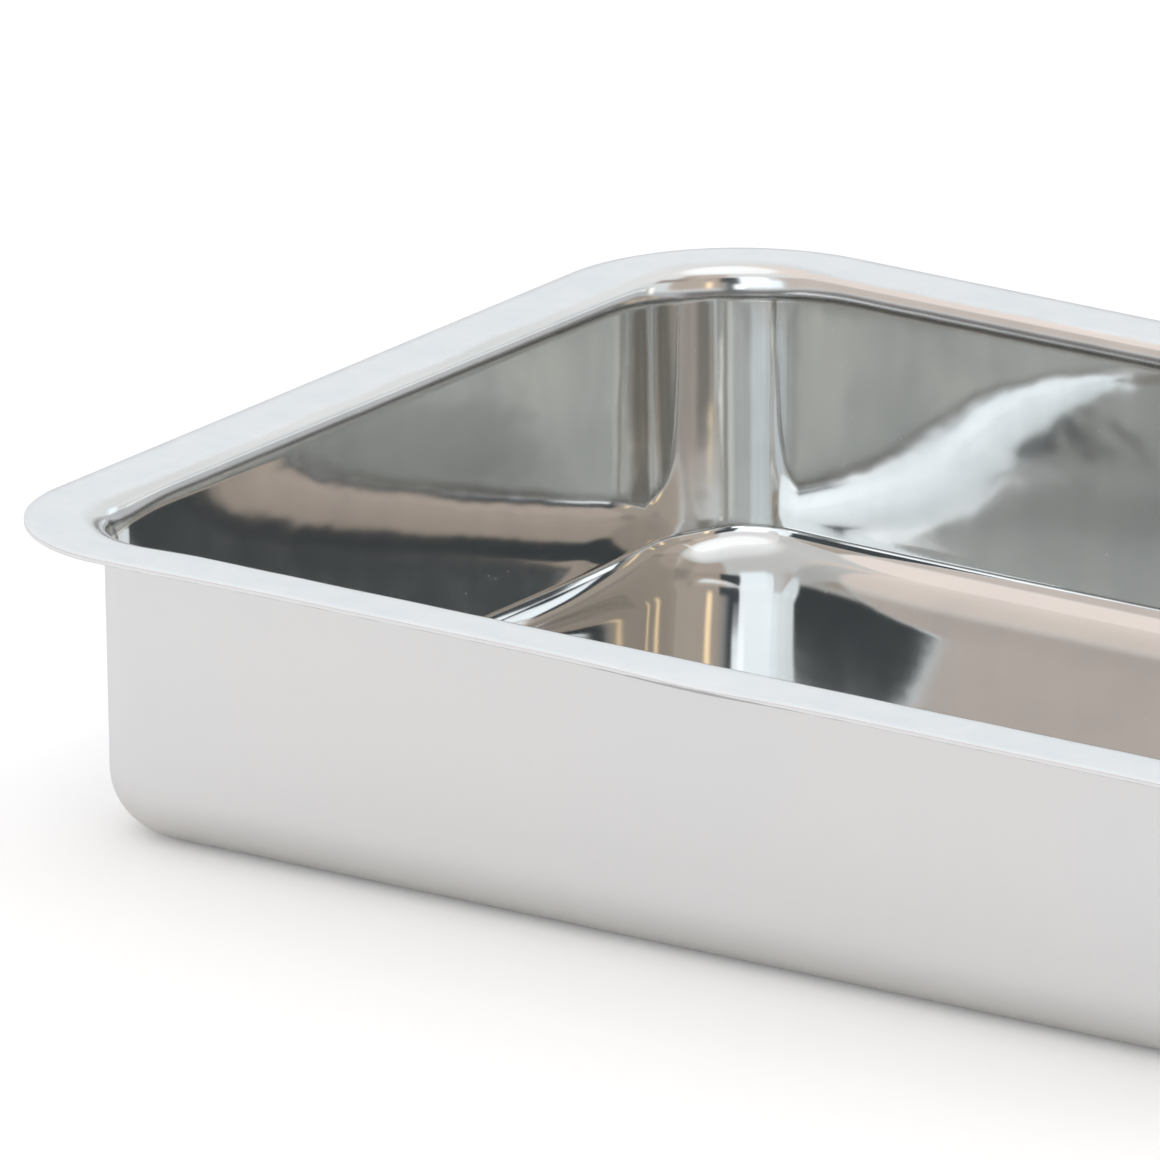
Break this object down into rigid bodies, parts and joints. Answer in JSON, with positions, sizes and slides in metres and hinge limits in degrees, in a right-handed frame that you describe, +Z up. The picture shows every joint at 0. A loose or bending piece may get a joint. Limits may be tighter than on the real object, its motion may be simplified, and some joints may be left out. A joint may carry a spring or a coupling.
{
  "type": "developing tray",
  "caption": "Deep rectangular stainless-steel darkroom tray pressed from one sheet, with rounded corners, a wide floor radius and a flat outward rim.",
  "frame": {"origin": "centre of the flat underside, on the plane the tray rests on", "axes": "+X along the long side, +Y along the short side, +Z up towards the open mouth"},
  "size_m": [0.34, 0.25, 0.064],
  "materials": {
    "stainless_sheet": "satin outside and on the rim, mirror-polished inside, fine-sheared edge"
  },
  "bodies": {
    "root": {"tray_shell": "stainless_sheet"}
  },
  "joints": []
}
